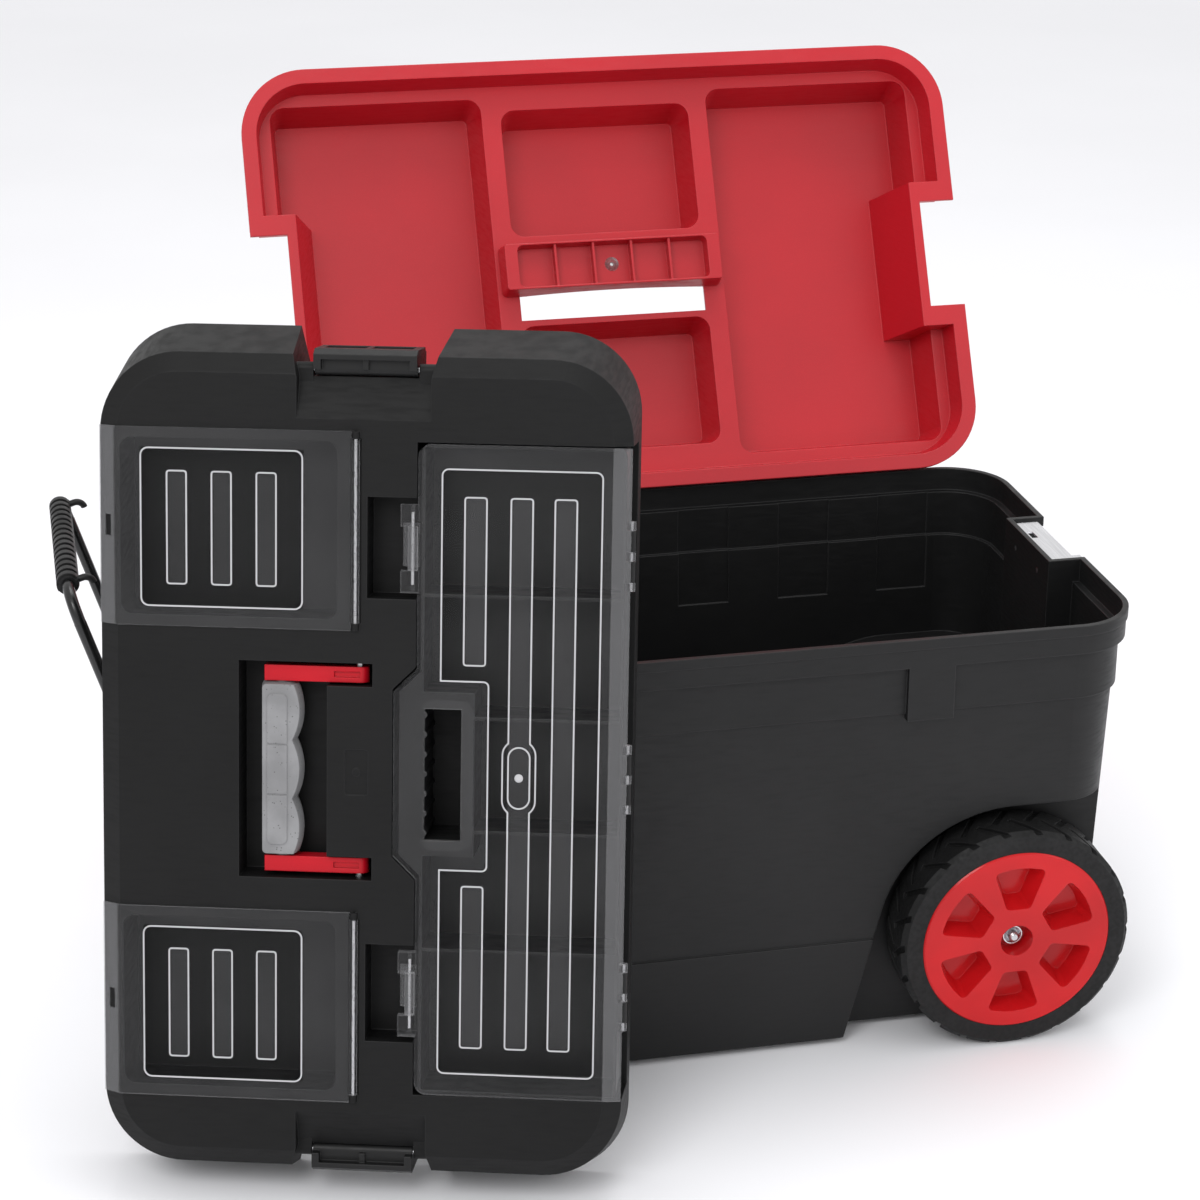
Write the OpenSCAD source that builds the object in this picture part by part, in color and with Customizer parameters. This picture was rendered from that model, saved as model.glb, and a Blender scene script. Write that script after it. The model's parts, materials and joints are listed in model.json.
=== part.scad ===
// Rolling toolbox, opened for use: a tub on two wheels with a pull handle, its lift-out tray
// propped on the rear rim, and its lid taken off and leaning on the front of the tub.
// Millimetres. +X points to the wheel end, +Y to the rear, +Z up.
// The origin lies on the floor, below the middle of the tub.

/* [Tub] */
// Length of the tub over the rim
tub_l = 600; // [560:1:660]
// Depth of the tub over the rim
tub_d = 364; // [340:1:400]
// Height of the rim above the floor
tub_h = 346; // [325:1:380]
// Plan radius of the rim's corners
rim_r = 52; // [45:1:60]
// Thickness of the tub's walls
wall_t = 4; // [3:0.5:5]
// Thickness of the rim's upright edge
rim_t = 4.5; // [3.5:0.5:5]
// Height of the rim flange
rim_h = 23; // [18:1:28]
// Height of the bead along the top of the rim flange
bead_h = 8; // [5:1:10]
// How far the bead stands out from the flange
bead_out = 1.2; // [0.5:0.1:2]
// Height of the band below the rim flange
band_h = 38; // [30:1:45]
// How far the band lies inside the rim
band_in = 6; // [5.5:0.5:7]
// How far the top of the wall lies inside the rim
wall_in = 9; // [8:0.5:11]
// How far the foot of the wall draws in below its top
wall_draft = 7; // [4:0.5:10]
// Height of the plinth
plinth_h = 85; // [60:1:100]
// How far the plinth stands out from the foot of the wall
plinth_out = 1.5; // [0.5:0.5:3]
// Thickness of the tub's floor
floor_t = 4; // [3:0.5:6]
// Height of the sole that the tub stands on
sole_h = 6; // [4:1:10]
// Length of the sole
sole_l = 330; // [290:1:340]
// Depth of the sole
sole_d = 260; // [200:1:270]
// How far the sole lies inside the foot of the plinth
sole_in = 21; // [15:1:30]
// Width of each tab on the front of the rim
tab_w = 36; // [24:1:48]
// Height of each tab
tab_h = 44; // [36:1:52]
// Distance of each tab from the middle of the tub
tab_x = 132; // [110:1:150]
// Width of each shallow panel in the rear wall
panel_w = 44; // [30:1:60]
// Distance between the middles of neighbouring panels
panel_pitch = 88; // [80:1:92]
// Depth of each panel
panel_depth = 1.2; // [0.6:0.1:2]
// Height of the panels' lower edges above the floor
panel_z = 242; // [225:1:255]

/* [Latch recesses and keepers] */
// Width of the recess in each end of the tub
recess_w = 92; // [80:1:100]
// Depth of the recess
recess_depth = 27; // [24:1:30]
// Height of the recess below the rim
recess_h = 150; // [110:1:170]
// Thickness of the keeper's sheet steel
keeper_t = 1.5; // [1:0.1:2]
// Width of the keeper
keeper_w = 84; // [70:1:88]
// How far the keeper's flange reaches out of the recess wall
keeper_reach = 20; // [15:1:23]
// Height of the keeper's upright leg
keeper_h = 30; // [25:1:40]
// Distance of the keeper's flange below the rim
keeper_drop = 2; // [1:0.5:4]
// Diameter of the keeper screws
screw_d = 4; // [3:0.5:5]
// Distance between the two screws of a keeper
screw_pitch = 50; // [40:1:60]

/* [Wheels] */
// Outside diameter of the tyres
wheel_d = 184; // [170:1:190]
// Diameter of the hubs
hub_d = 150; // [135:1:155]
// Width of the wheels
wheel_w = 46; // [38:1:50]
// How far each wheel stands out beyond the rim
wheel_out = 11.5; // [8:0.5:18]
// Distance of the axle from the middle of the tub
wheel_x = 206; // [195:1:212]
// Diameter of the axle
axle_d = 8; // [7:0.5:10]
// Radial running clearance of a hub on the axle
axle_fit = 0.06; // [0.03:0.01:0.1]
// Gap between tyre and wheel arch
well_gap = 12; // [8:1:15]
// Gap between the inner face of a wheel and its well
well_side = 4; // [3:0.5:6]
// How far the wheel arch flares ahead of the axle at the floor
well_flare = 130; // [120:1:140]
// Number of pockets in a hub
hub_pockets = 6; // [5:1:7]
// Depth of the pockets
pocket_depth = 18; // [12:1:22]
// Diameter of the cup in the middle of a hub
cup_d = 26; // [22:1:30]
// Depth of the cup
cup_depth = 14; // [12:1:16]
// Number of tread lugs along one edge of a tyre
tread_lugs = 22; // [16:1:26]
// Depth of the tread
tread_depth = 3; // [2:0.5:4]
// Width of the gaps between tread lugs
tread_gap = 5; // [4:0.5:7]
// Slant of the gaps
tread_slant = 38; // [20:1:45]

/* [Pull handle] */
// Diameter of the handle tube
tube_d = 9; // [8:0.5:11]
// Distance between the two legs
handle_w = 216; // [190:1:218]
// Height of the sliding legs above the floor
handle_z = 270; // [255:1:274]
// Straight length of the legs that stays outside when the handle is pushed in
handle_rest = 17; // [10:1:30]
// Angle by which the legs rise towards the grip
handle_rise = 73; // [60:1:85]
// Radius of the bend where the legs rise
leg_bend_r = 45; // [35:1:55]
// Radius of the corners beside the grip
grip_bend_r = 22; // [18:1:28]
// Height of the grip above the floor
grip_z = 402; // [385:1:420]
// Travel of the handle into the tub
handle_travel = 105; // [80:1:110]
// Distance of the ribbed grip sleeve from the bends beside it
sleeve_in = 1; // [0.5:0.5:10]
// Diameter of the grip sleeve over its ribs
sleeve_d = 16.5; // [15:0.5:20]
// Number of ribs on the sleeve
sleeve_ribs = 16; // [10:1:20]
// Depth of the grooves between the ribs
sleeve_groove = 1.8; // [1:0.1:2.2]
// Length of the guide sleeves inside the tub
guide_l = 120; // [90:1:130]
// Wall of the guide sleeves
guide_t = 4; // [3:0.5:5]
// Radial running clearance of the tube in its guide
guide_fit = 0.08; // [0.05:0.01:0.1]
// Thickness of the end stops
stop_t = 8; // [6:1:10]

/* [Tray] */
// Gap between the tub's rim and the tray's lip
lip_gap = 0.5; // [0.3:0.1:1]
// Thickness of the tray's lip
lip_t = 3; // [2:0.5:3]
// Height of the tray's lip
lip_h = 11; // [9:1:14]
// Height of the bead along the top of the lip
lip_bead = 5; // [4:1:7]
// How far the bead stands out from the lip
lip_step = 0.8; // [0.4:0.1:1]
// Wall of the tray
tray_t = 3; // [2.5:0.5:3.5]
// Width of the groove that takes the tub's rim
groove_w = 6; // [5.5:0.5:7]
// Depth of the ledge below the tray's rim
ledge_depth = 22; // [16:1:24]
// Depth of the tray's pockets below its rim
tray_depth = 62; // [50:1:64]
// Width of the ledge round the pockets
ledge_w = 10; // [8:1:14]
// How far the rim's inner wall draws in at the ledge
ledge_draft = 4; // [2:0.5:6]
// How much further in the middle pockets lie
mid_in = 11; // [8:1:14]
// Half the width of the middle pockets
mid_half = 82; // [75:1:88]
// Width of the webs between pockets
web_w = 16; // [12:1:20]
// Depth of the middle pockets, front to rear
mid_pocket_d = 110; // [100:1:113]
// Length of the sloping wall in each side pocket beside the latch notch
slope_l = 126; // [115:1:140]
// How far that wall slopes in from the rim to the floor
slope_in = 20; // [10:1:26]
// Corner radius of the pockets
pocket_r = 12; // [8:1:16]
// How far the pockets' walls draw in at the floor
pocket_draft = 7; // [4:0.5:9]
// Length of the tray's grip bar
bar_l = 190; // [180:1:200]
// Width of the grip bar
bar_w = 44; // [36:1:48]
// How far the grip bar lies behind the tray's middle
bar_back = 9; // [6:1:10]
// Height of the grip bar's middle
bar_h = 20; // [17:1:21]
// Number of bit compartments in the bar
bar_cells = 5; // [3:2:7]
// Depth of the bit compartments
cell_depth = 11; // [8:1:12]
// Diameter of the rivet in the bar
rivet_d = 3; // [2.5:0.5:3.5]

/* [Lid] */
// Thickness of the lid
lid_h = 64; // [60:1:72]
// Slope of the lid's ends
end_slope = 16; // [8:1:18]
// Width of the bevel along the lid's top edges
bevel_w = 13; // [8:1:14]
// Height of the bevel
bevel_h = 8; // [5:1:10]
// How far the lid's sides draw in at the top
side_draft = 2; // [1:0.5:3]
// Wall of the lid
lid_t = 3; // [2.5:0.5:4]
// Thickness of the liner under the lid
liner_t = 2.5; // [2:0.5:4]
// Depth of the latch notches in the lid's ends
notch_depth = 31; // [28:1:33]
// Width of the latch notches at their inner wall
notch_w = 92; // [84:1:100]
// Length of the ramp above each notch
ramp_l = 28; // [20:1:32]
// Drop of the ramp at the notch
ramp_drop = 14; // [10:1:18]

/* [Square bins] */
// Length of a square cover along the lid
cover_l = 137; // [125:1:142]
// Distance of the square bins' middles from the lid's middle
cover_pitch = 168; // [164:1:172]
// Thickness of the clear covers
cover_t = 2.4; // [2:0.2:3]
// Gap between a cover and the lid's face
cover_gap = 0.4; // [0.3:0.1:0.6]
// Depth of the square bins
bin_depth = 42; // [30:1:48]
// How far the bins lie inside their covers
bin_in = 5; // [4:0.5:6]
// Corner radius of the bins
bin_r = 8; // [5:1:12]
// Distance of the covers' hinge from the lid's middle line
hinge_u = 5; // [4:0.5:7]
// Length of each lug that holds a cover's pin
lug_l = 5; // [4:0.5:7]
// Diameter of the covers' hinge barrels
barrel_d = 5.4; // [5:0.2:6]
// Diameter of the covers' hinge pins
pin_d = 2.4; // [2:0.2:2.6]
// Height of the hinge axis above the lid's face
hinge_rise = 1; // [0.8:0.1:1.4]

/* [Carry handle] */
// Distance of the handle's pivot from the lid's middle line
pivot_u = 3; // [2:0.5:5]
// Length of the handle's arms from the pivot to the grip's middle
arm_l = 54; // [50:1:58]
// Width of each arm
arm_w = 11; // [9:0.5:12]
// Distance between the outer faces of the two arms
arms_span = 146; // [138:1:148]
// Thickness of the arms
arm_t = 13; // [11:0.5:14]
// Width of the grip across the lid
grip_w = 30; // [26:1:32]
// Thickness of the grip
grip_t = 20; // [16:1:21]
// Diameter of the handle's pivot pins
pivot_d = 6; // [5:0.5:7]
// Depth of the pivot below the lid's face
pivot_drop = 12; // [11:0.5:14]
// Depth of the recess for the carry handle
handle_recess = 28; // [26:1:32]
// Clearance round the handle in its recess
handle_clear = 3.5; // [3:0.5:4]
// Room for fingers beside the grip
finger_room = 14; // [10:1:18]

/* [Organizer] */
// Length of the organizer
org_l = 458; // [440:1:464]
// Distance of the organizer's front wall from the lid's middle line
org_u = 40; // [38:1:44]
// Depth of the organizer case
org_h = 44; // [38:1:46]
// Wall of the organizer case
org_t = 2.5; // [2:0.5:3]
// Clearance between the case and its seat in the lid
org_gap = 1; // [0.5:0.1:1.5]
// How far the case's grip stands out of its front wall
case_grip_out = 16; // [13:1:17]
// Length of the case's grip at its outer edge
case_grip_l = 116; // [110:1:122]
// How far the organizer's cover reaches over the case's front wall
cover_over = 2; // [1:0.5:3]
// Length of the finger opening behind the grip
finger_l = 92; // [84:1:98]
// Depth of the finger opening
finger_w = 25; // [22:1:27]
// Distance of the latches from the organizer's middle
latch_pitch = 157; // [150:1:162]
// Width of the clear latches
latch_w = 30; // [24:1:34]
// Distance of the outer hinges from the organizer's middle
hinge_pitch = 155; // [150:1:160]
// Length of each hinge
hinge_l = 48; // [40:1:52]
// Length of each clear prong of a hinge
prong_l = 6; // [5:0.5:8]
// Diameter of the organizer's hinge barrels
org_barrel_d = 6; // [5.5:0.5:6.5]
// Diameter of the organizer's hinge pins
org_pin_d = 2.6; // [2.2:0.2:3]
// Distance of the inner dividers from the organizer's middle
divider_in = 40; // [34:1:44]
// Distance of the outer dividers from the organizer's middle
divider_out = 125; // [118:1:135]

/* [End latches] */
// Width of an end latch
end_latch_w = 71; // [60:1:76]
// Height of an end latch
end_latch_h = 42; // [36:1:44]
// Thickness of an end latch
end_latch_t = 18; // [14:1:19]
// Diameter of the end latches' pins
latch_pin_d = 4; // [3:0.5:5]

/* [How it stands] */
// Angle by which the lid leans back
lid_lean = 13.4; // [11:0.1:15]
// Turn of the lid about the vertical
lid_yaw = -16.2; // [-18:0.1:-14]
// Place of the lid's middle along the tub
lid_x = -304; // [-312:1:-298]
// Angle by which the tray leans back
tray_lean = 28; // [24:1:30]
// Place of the tray's middle along the tub
tray_x = -14; // [-20:1:10]
// Gap that is left where one piece rests on another
seat_gap = 0.35; // [0.3:0.05:0.5]

/* [Hidden] */
$fn = 64;
black = [0.10, 0.10, 0.11];
red = [0.78, 0.08, 0.12];
clear = [0.75, 0.77, 0.80, 0.45];
steel = [0.80, 0.81, 0.82];
// A little more than nothing, so that cuts pass right through a face
eps = 1;
hair = 0.05;

// Levels of the tub
plinth_z = sole_h + plinth_h;
rim_z = tub_h - rim_h;
band_z = rim_z - band_h;
tub_floor = sole_h + floor_t;
// Wheels and wells
track = tub_d + 2 * wheel_out;
wheel_z = wheel_d / 2;
well_r = wheel_d / 2 + well_gap;
well_y = track / 2 - wheel_w - well_side;
tunnel_r = axle_d / 2 + wall_t;
boss_l = 20;
cap_d = 2 * axle_d - 0.5;
axle_end = 5;
// Pull handle, whose tube is a little thinner in its bends
bend_thin = 0.3;
boss_x = -(tub_l / 2 - band_in);
guide_d = tube_d + 2 * (guide_fit + guide_t);
guide_flange_t = 4;
guide_boss_l = 24;
guide_flange_d = guide_d + 8;
handle_reach = handle_travel + handle_rest;
sleeve_l = handle_w - 2 * (grip_bend_r + sleeve_in);
leg_end_x = boss_x + guide_l + seat_gap + stop_t;
bend_x = boss_x - handle_reach;
bend_end = [bend_x - leg_bend_r * sin(handle_rise), handle_z + leg_bend_r * (1 - cos(handle_rise))];
rise_l = (grip_z - bend_end[1]) / sin(handle_rise) - grip_bend_r;
// Tray
tray_l = tub_l + 2 * (lip_gap + lip_t);
tray_d = tub_d + 2 * (lip_gap + lip_t);
tray_r = rim_r + lip_gap + lip_t;
rim_wall_in = lip_t + groove_w;
ledge_in = rim_wall_in + tray_t;
pocket_in = ledge_in + ledge_draft + ledge_w;
mid_outer = tray_d / 2 - pocket_in - mid_in;
notch_groove = wall_t + lip_gap;
notch_wall_u = tub_l / 2 - recess_depth - notch_groove - tray_t;
side_pocket_u = mid_half + web_w;
// The tray stands with the end of its lip on the rear rim
tray_y = tub_d / 2 - rim_t / 2 - lip_step * sin(tray_lean) - lip_h * cos(tray_lean);
tray_z = tub_h + seat_gap - lip_step * cos(tray_lean) + lip_h * sin(tray_lean);
// Lid, which matches the tray's outline
lid_l = tray_l;
lid_w = tray_d;
lid_r = tray_r;
corner = [-(tub_l / 2 - rim_r) + rim_r * sin(lid_yaw), -(tub_d / 2 - rim_r) - rim_r * cos(lid_yaw)];
lean_run = tub_h * sin(lid_lean) + seat_gap + (corner[0] - lid_x) * sin(lid_yaw) * cos(lid_lean);
lid_y = corner[1] - lean_run / (cos(lid_yaw) * cos(lid_lean));
lid_face_w = lid_w / 2 - side_draft;
notch_flare = 8;
pivot_w = lid_h - pivot_drop;
hinge_w = lid_h + hinge_rise;
grip_spigot = [6, 10];
cover_edge = lid_face_w - bevel_w;
cover_u = hinge_u + barrel_d;
latch_axis_v = lid_l / 2 - notch_depth + latch_pin_d / 2 + 3;
latch_wall = 2.5;
latch_eye_r = latch_pin_d / 2 + latch_wall;
latch_axis_w = lid_h - ramp_drop - latch_eye_r + latch_wall;
// Organizer, with its right wall just inside the lid's side
org_right = lid_face_w - 3.5;
org_floor = lid_h - org_h - 2;
org_top = org_floor + org_h;
org_hinge_u = org_right + org_barrel_d / 2 + seat_gap;
org_hinge_w = org_top - org_barrel_d / 2 - 1;
prong_pitch = (hinge_l - prong_l) / 2;
knuckle_l = prong_pitch - prong_l - 2 * seat_gap;
cover_left = org_u - cover_over;
case_cover_t = 3;
surround_u = org_u + finger_w + 13;
line_in = 16;
bar_in = 3.5;
snap_u = org_u - 6;
snap_w = org_top - 0.5;
snap_r = 3.4;
catch_w = snap_w - 16;
catch_out = 3;

// A box with round upright corners, drawn in at the top or at the foot
module drafted_box(l, d, r, h, top_in = 0, foot_in = 0) {
    rotate([90, 0, 90]) linear_extrude(l - 2 * r, center = true) trapezoid(d, h, top_in, foot_in);
    rotate([90, 0, 0]) linear_extrude(d - 2 * r, center = true) trapezoid(l, h, top_in, foot_in);
    for (x = [-1, 1], y = [-1, 1])
        translate([x * (l / 2 - r), y * (d / 2 - r), 0]) cylinder(h = h, r1 = r - foot_in, r2 = r - top_in);
}

module trapezoid(w, h, top_in, foot_in) {
    polygon([[-(w / 2 - foot_in), 0], [w / 2 - foot_in, 0], [w / 2 - top_in, h], [-(w / 2 - top_in), h]]);
}

// A box from one corner to the other
module span(from, to) {
    translate(from) cube(to - from);
}

// Children at both ends of the tub or tray, mirrored
module both_ends() {
    children();
    mirror([1, 0, 0]) children();
}

module front_and_rear() {
    children();
    mirror([0, 1, 0]) children();
}

// The tub's outline at stepped levels, each [inset from the rim, height], from the foot up
module tub_stack(levels) {
    rotate([90, 0, 90]) linear_extrude(tub_l - 2 * rim_r, center = true) stepped(tub_d / 2, levels);
    rotate([90, 0, 0]) linear_extrude(tub_d - 2 * rim_r, center = true) stepped(tub_l / 2, levels);
    for (x = [-1, 1], y = [-1, 1])
        translate([x * (tub_l / 2 - rim_r), y * (tub_d / 2 - rim_r), 0])
            rotate_extrude() intersection() {
                stepped(rim_r, levels);
                square(tub_l);
            }
}

module stepped(half, levels) {
    right = [for (level = levels) [half - level[0], level[1]]];
    left = [for (i = [len(levels) - 1 : -1 : 0]) [levels[i][0] - half, levels[i][1]]];
    polygon(concat(right, left));
}

module tub_outside() {
    foot_in = wall_in + wall_draft;
    bead_z = tub_h - bead_h;
    tub_stack([
        [foot_in, sole_h], [foot_in - plinth_out, plinth_z],
        [foot_in, plinth_z], [wall_in, band_z],
        [band_in, band_z], [band_in, rim_z],
        [bead_out, rim_z], [bead_out, bead_z],
        [0, bead_z], [0, tub_h]
    ]);
    translate([sole_l / 2 - tub_l / 2 + foot_in + sole_in, 0, 0])
        drafted_box(sole_l, sole_d, sole_in, sole_h + floor_t / 2, 0, 1);
    for (x = [-tab_x, tab_x])
        span([x - tab_w / 2, -tub_d / 2 + bead_out, rim_z + bead_out - tab_h],
             [x + tab_w / 2, wall_in + wall_t - tub_d / 2, rim_z + bead_out]);
}

module tub_inside() {
    foot_in = wall_in + wall_draft + wall_t;
    ledge_z = band_z + wall_t;
    shelf_z = rim_z + wall_t;
    tub_stack([
        [foot_in, tub_floor], [foot_in, plinth_z], [wall_in + wall_t, ledge_z],
        [band_in + wall_t, ledge_z], [band_in + wall_t, shelf_z],
        [rim_t, shelf_z], [rim_t, shelf_z + rim_h]
    ]);
}

// Recess in each end for the lid's latch, with a sloping foot
module latch_recesses(grow) {
    depth = recess_depth + grow;
    foot_z = tub_h - recess_h;
    both_ends()
        rotate([90, 0, 0]) linear_extrude(recess_w + 2 * grow, center = true) polygon([
            [tub_l / 2 - depth, tub_h + eps],
            [tub_l / 2 - depth, foot_z + recess_depth - grow * (sqrt(2) - 1)],
            [tub_l / 2 + eps, foot_z - eps - grow * sqrt(2)],
            [tub_l / 2 + eps, tub_h + eps]
        ]);
}

module well_outline(grow) {
    r = well_r + grow;
    side_a = 10;
    translate([wheel_x, wheel_z]) circle(r);
    polygon([
        [wheel_x - well_flare - grow, -eps],
        [wheel_x - r * cos(side_a), wheel_z + r * sin(side_a)],
        [wheel_x, wheel_z],
        [wheel_x, -eps]
    ]);
    translate([wheel_x, -eps]) square([tub_l / 2 - wheel_x + eps, wheel_z + r + eps]);
}

module wheel_wells(grow) {
    front_and_rear()
        translate([0, grow - well_y, 0]) rotate([90, 0, 0]) linear_extrude(tub_d) well_outline(grow);
}

// Tunnel across the floor between the wells, open below, that hides the axle
module axle_tunnel(grow, l) {
    r = tunnel_r + grow;
    rotate([90, 0, 0]) linear_extrude(l, center = true) {
        translate([wheel_x, wheel_z]) circle(r);
        translate([wheel_x - r, -eps]) square([2 * r, wheel_z + eps]);
    }
}

module handle_bosses(d, l) {
    for (y = [-1, 1])
        translate([boss_x, y * handle_w / 2, handle_z]) rotate([0, 90, 0]) cylinder(h = l, d = d);
}

// Shallow upright panels in the rear wall, which notch the ledge below the rim
module rear_panels() {
    top_z = band_z + wall_t;
    wall_y = tub_d / 2 - wall_in - wall_t + panel_depth;
    foot_y = wall_y - wall_draft * (top_z - panel_z) / (top_z - plinth_z);
    band_y = tub_d / 2 - band_in - wall_t + panel_depth;
    for (i = [-2.5 : 2.5])
        translate([i * panel_pitch, 0, 0]) rotate([90, 0, 90])
            linear_extrude(panel_w, center = true) polygon([
                [0, panel_z], [foot_y, panel_z], [wall_y, top_z], [band_y, top_z],
                [band_y, rim_z + wall_t + eps], [0, rim_z + wall_t + eps]
            ]);
}

module tub() {
    color(black) difference() {
        union() {
            difference() {
                tub_outside();
                difference() {
                    union() {
                        tub_inside();
                        rear_panels();
                    }
                    latch_recesses(wall_t);
                    wheel_wells(wall_t);
                    axle_tunnel(wall_t, 2 * well_y);
                }
            }
            handle_bosses(guide_d + 2 * wall_t, guide_boss_l);
        }
        latch_recesses(0);
        wheel_wells(0);
        axle_tunnel(0, 2 * (well_y - boss_l));
        translate([wheel_x, 0, wheel_z]) rotate([90, 0, 0])
            cylinder(h = tub_d, d = axle_d + 2 * hair, center = true);
        translate([-eps, 0, 0]) handle_bosses(guide_d + 2 * hair, guide_boss_l + 2 * eps);
        keeper_holes(screw_d + 2 * hair, wall_t + eps);
    }
}

module axle() {
    tip = 1.5;
    half = track / 2 - axle_end;
    color(steel) translate([wheel_x, 0, wheel_z]) rotate([90, 0, 0]) {
        cylinder(h = 2 * (half - tip), d = axle_d, center = true);
        for (s = [0, 1])
            mirror([0, 0, s]) translate([0, 0, half - tip])
                cylinder(h = tip, d1 = axle_d, d2 = axle_d - 2 * tip);
    }
}

// Places a ring on the axle in front and at the rear, from the given distance outwards
module on_axle_ends(y) {
    front_and_rear()
        translate([wheel_x, -y, wheel_z]) rotate([90, 0, 0]) children();
}

module axle_washers() {
    t = well_side - 2 * seat_gap;
    color(steel) on_axle_ends(well_y + seat_gap) difference() {
        cylinder(h = t, d = axle_d + 10);
        translate([0, 0, -eps]) cylinder(h = t + 2 * eps, d = axle_d + 2 * hair);
    }
}

// Dished push nut at each end of the axle
module axle_caps() {
    t = 4;
    dish = 2.8;
    color(steel) on_axle_ends(track / 2 - cup_depth + seat_gap) difference() {
        cylinder(h = t, d = cap_d);
        translate([0, 0, -eps]) cylinder(h = t + 2 * eps, d = axle_d + 2 * hair);
        translate([0, 0, t - dish]) cylinder(h = dish + hair, d1 = axle_d + 1, d2 = cap_d - 1.5);
    }
}

// Children at a keeper screw, with z into the tub from the keeper's outer face
module at_keeper_screw(side) {
    face_x = tub_l / 2 - recess_depth + keeper_t;
    mid_z = tub_h - keeper_drop - keeper_h / 2;
    translate([face_x, side * screw_pitch / 2, mid_z]) rotate([0, -90, 0]) children();
}

module keeper_holes(d, l) {
    both_ends()
        for (y = [-1, 1])
            at_keeper_screw(y) translate([0, 0, -eps]) cylinder(h = l + keeper_t + 2 * eps, d = d);
}

// Sheet steel angle in each recess; the lid's latch hooks under its flange
module keepers() {
    back_x = tub_l / 2 - recess_depth;
    top_z = tub_h - keeper_drop;
    slot = [5, 14];
    tongue = [9, 6];
    color(steel) difference() {
        both_ends() {
            span([back_x, -keeper_w / 2, top_z - keeper_h], [back_x + keeper_t, keeper_w / 2, top_z]);
            span([back_x, -keeper_w / 2, top_z - keeper_t], [back_x + keeper_reach, keeper_w / 2, top_z]);
            span([back_x, -keeper_w / 2, top_z - keeper_t],
                 [min(back_x + keeper_reach + tongue[0], tub_l / 2), -keeper_w / 2 + tongue[1], top_z]);
        }
        keeper_holes(screw_d + 2 * hair, wall_t);
        both_ends()
            span([back_x + 2 * keeper_t, slot[1] / 2, top_z - keeper_t - eps],
                 [back_x + 2 * keeper_t + slot[0], slot[1] * 1.5, top_z + eps]);
    }
}

module keeper_screws() {
    head_t = 2.2;
    color(steel) both_ends()
        for (y = [-1, 1])
            at_keeper_screw(y) {
                cylinder(h = keeper_t + wall_t, d = screw_d);
                translate([0, 0, -head_t]) cylinder(h = head_t, d1 = 1.5 * screw_d, d2 = 2 * screw_d);
            }
}

module handle_guides() {
    color(black) difference() {
        union() {
            handle_bosses(guide_d, guide_l);
            translate([-guide_flange_t, 0, 0]) handle_bosses(guide_flange_d, guide_flange_t);
        }
        translate([-guide_flange_t - eps, 0, 0])
            handle_bosses(tube_d + 2 * guide_fit, guide_l + guide_flange_t + 2 * eps);
    }
}

// Places a wheel whose outer face is at z = wheel_w
module on_axle(side) {
    translate([wheel_x, side * (track / 2 - wheel_w), wheel_z]) rotate([-side * 90, 0, 0]) children();
}

// A pocket's outline: a sector of a ring with round corners, drawn in all round
module hub_pocket(inset) {
    spoke_a = 10.5;
    corner_r = 4;
    outer_r = hub_d * 0.415 - corner_r - inset;
    inner_r = hub_d * 0.185 + corner_r + inset;
    half_a = 180 / hub_pockets - spoke_a;
    outer_a = half_a - asin((corner_r + inset) / outer_r);
    inner_a = half_a - asin((corner_r + inset) / inner_r);
    for (s = [-1, -0.5, 0, 0.5, 1])
        rotate(s * outer_a) translate([outer_r, 0]) circle(corner_r, $fn = 24);
    for (s = [-1, 0, 1])
        rotate(s * inner_a) translate([inner_r, 0]) circle(corner_r, $fn = 24);
}

module hub() {
    web_t = 6;
    rim_wall = 7;
    edge = 1.2;
    pocket_taper = 4.5;
    barrel_r = axle_d / 2 + 11;
    rim_r1 = hub_d / 2;
    web_z = wheel_w - pocket_depth - web_t;
    color(red) difference() {
        rotate_extrude($fn = 128) polygon([
            [0, 0], [barrel_r, 0], [barrel_r, web_z], [rim_r1 - rim_wall, web_z], [rim_r1 - rim_wall, 0],
            [rim_r1, 0], [rim_r1, wheel_w - edge], [rim_r1 - edge, wheel_w], [0, wheel_w]
        ]);
        translate([0, 0, -eps]) cylinder(h = wheel_w + 2 * eps, d = axle_d + 2 * axle_fit);
        translate([0, 0, wheel_w - cup_depth]) cylinder(h = cup_depth + hair, d1 = cup_d - 4, d2 = cup_d);
        for (i = [0 : hub_pockets - 1])
            rotate(90 + i * 360 / hub_pockets) hull() {
                translate([0, 0, wheel_w]) linear_extrude(hair) hub_pocket(0);
                translate([0, 0, wheel_w - pocket_depth]) linear_extrude(hair) hub_pocket(pocket_taper);
            }
    }
}

// Tyre with two rows of slanted gaps in its tread
module tyre() {
    edge = 4;
    side = 1;
    inner_r = hub_d / 2 + hair;
    outer_r = wheel_d / 2;
    gap_l = wheel_w * 0.66;
    color(black) difference() {
        rotate_extrude($fn = 128) polygon([
            [inner_r, side], [outer_r - edge, side], [outer_r, side + edge], [outer_r, wheel_w - side - edge],
            [outer_r - edge, wheel_w - side], [inner_r, wheel_w - side]
        ]);
        for (i = [0 : tread_lugs - 1], s = [-1, 1])
            rotate((i + s / 4) * 360 / tread_lugs)
                translate([outer_r, 0, wheel_w / 2 + s * gap_l / 3]) rotate([s * tread_slant, 0, 0])
                    cube([2 * tread_depth, tread_gap, gap_l], center = true);
    }
}

module hub_front() on_axle(-1) hub();
module tyre_front() on_axle(-1) tyre();
module hub_rear() on_axle(1) hub();
module tyre_rear() on_axle(1) tyre();

// The bow at the end of the handle: x across the tub, y along the rising legs
module on_bow() {
    translate([bend_end[0], 0, bend_end[1]]) rotate([0, handle_rise - 90, 0]) rotate([90, 0, 90]) children();
}

// A bend of the handle tube in the x-y plane, from +x round to the given angle
module tube_bend(r, angle) {
    rotate_extrude(angle = angle) translate([r, 0]) circle(d = tube_d - bend_thin);
}

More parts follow.
